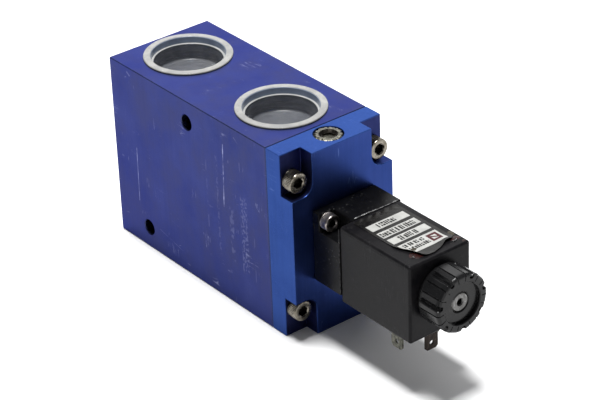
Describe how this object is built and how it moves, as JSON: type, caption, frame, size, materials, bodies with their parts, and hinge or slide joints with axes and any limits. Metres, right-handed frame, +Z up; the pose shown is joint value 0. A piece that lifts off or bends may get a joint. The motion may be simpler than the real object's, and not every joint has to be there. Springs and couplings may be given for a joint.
{
  "type": "solenoid pilot valve",
  "caption": "Block-bodied three-way poppet valve with large threaded ports, an end cover, a pilot block, a solenoid coil with flat terminals, a round coil nut and port caps.",
  "frame": {"origin": "centre of the whole valve's footprint, on the bottom face that it stands on", "axes": "+X along the valve's axis from the blind end of the block to the coil nut, +Y across it, +Z up through the two top ports"},
  "size_m": [0.187, 0.05, 0.082],
  "materials": {
    "body": "anodised indigo blue, fine machining, light scratches",
    "cover": "anodised brighter blue, satin",
    "pilot_black": "black anodised aluminium, satin",
    "aluminium": "turned, bare",
    "nickel_steel": "nickelled steel, bright",
    "stainless": "drawn and turned stainless steel",
    "magnet_steel": "turned magnetic steel",
    "brass": "turned brass or bronze",
    "tinned_blade": "dull tinned brass",
    "copper": "enamelled copper wire",
    "rubber": "moulded nitrile rubber",
    "cap_plastic": "translucent soft polyethylene",
    "coil_plastic": "black moulded plastic, fine texture",
    "nut_plastic": "black moulded plastic, satin",
    "bobbin_plastic": "natural moulded plastic",
    "label_film": "dark printed film label with a clear gloss"
  },
  "bodies": {
    "valve": {"body_block": "body", "seat_insert": "aluminium", "seat_insert_o_ring": "rubber", "seat_retaining_ring": "stainless", "bulkhead": "aluminium", "bulkhead_o_ring": "rubber", "rod_seal": "rubber", "rod_bush": "brass", "end_cover": "cover", "cover_o_ring": "rubber", "cover_plug": "nickel_steel", "cover_screw_1": "nickel_steel", "cover_screw_2": "nickel_steel", "cover_screw_3": "nickel_steel", "cover_screw_4": "nickel_steel", "return_spring": "stainless", "pilot_block": "pilot_black", "pilot_screw_1": "nickel_steel", "pilot_screw_2": "nickel_steel", "pilot_o_ring_1": "rubber", "pilot_o_ring_2": "rubber", "pilot_nozzle": "brass", "armature_tube": "stainless", "armature_tube_o_ring": "rubber", "tube_ring_nut": "nickel_steel", "fixed_core": "magnet_steel", "plunger_spring": "stainless"},
    "poppet": {"poppet_disc": "aluminium", "poppet_seal_back": "rubber", "poppet_seal_front": "rubber", "valve_stem": "stainless", "poppet_nut": "nickel_steel", "spring_seat": "stainless", "piston": "aluminium", "piston_seal": "rubber", "piston_nut": "nickel_steel"},
    "armature": {"plunger": "magnet_steel", "plunger_seal": "rubber"},
    "coil": {"coil_housing": "coil_plastic", "coil_yoke_plate": "magnet_steel", "coil_yoke_sleeve": "magnet_steel", "coil_bobbin": "bobbin_plastic", "coil_winding": "copper", "coil_label": "label_film", "ground_blade": "tinned_blade", "power_blade_1": "tinned_blade", "power_blade_2": "tinned_blade", "connector_insert": "brass"},
    "nut": {"coil_nut": "nut_plastic", "coil_nut_washer": "rubber"},
    "left_cap": {"port_cap_left": "cap_plastic"},
    "right_cap": {"port_cap_right": "cap_plastic"}
  },
  "joints": [
    {"name": "poppet_slide", "type": "slide", "parent": "valve", "child": "poppet", "axis": [-1, 0, 0], "range_m": [0, 0.006], "stiffness_N_per_m": 900, "springref_m": -0.008, "deforming": ["return_spring"]},
    {"name": "plunger_slide", "type": "slide", "parent": "valve", "child": "armature", "axis": [1, 0, 0], "range_m": [0, 0.0011], "stiffness_N_per_m": 400, "springref_m": -0.003, "deforming": ["plunger_spring"]},
    {"name": "coil_turn", "type": "hinge", "parent": "valve", "child": "coil", "pos_m": [0.061, 0, 0.0405], "axis": [1, 0, 0], "continuous": true},
    {"name": "nut_turn", "type": "hinge", "parent": "valve", "child": "nut", "pos_m": [0.0865, 0, 0.0405], "axis": [1, 0, 0], "continuous": true},
    {"name": "left_cap_pull", "type": "slide", "parent": "valve", "child": "left_cap", "axis": [0, 0, 1], "range_m": [0, 0.03]},
    {"name": "right_cap_pull", "type": "slide", "parent": "valve", "child": "right_cap", "axis": [0, 0, 1], "range_m": [0, 0.03]}
  ]
}
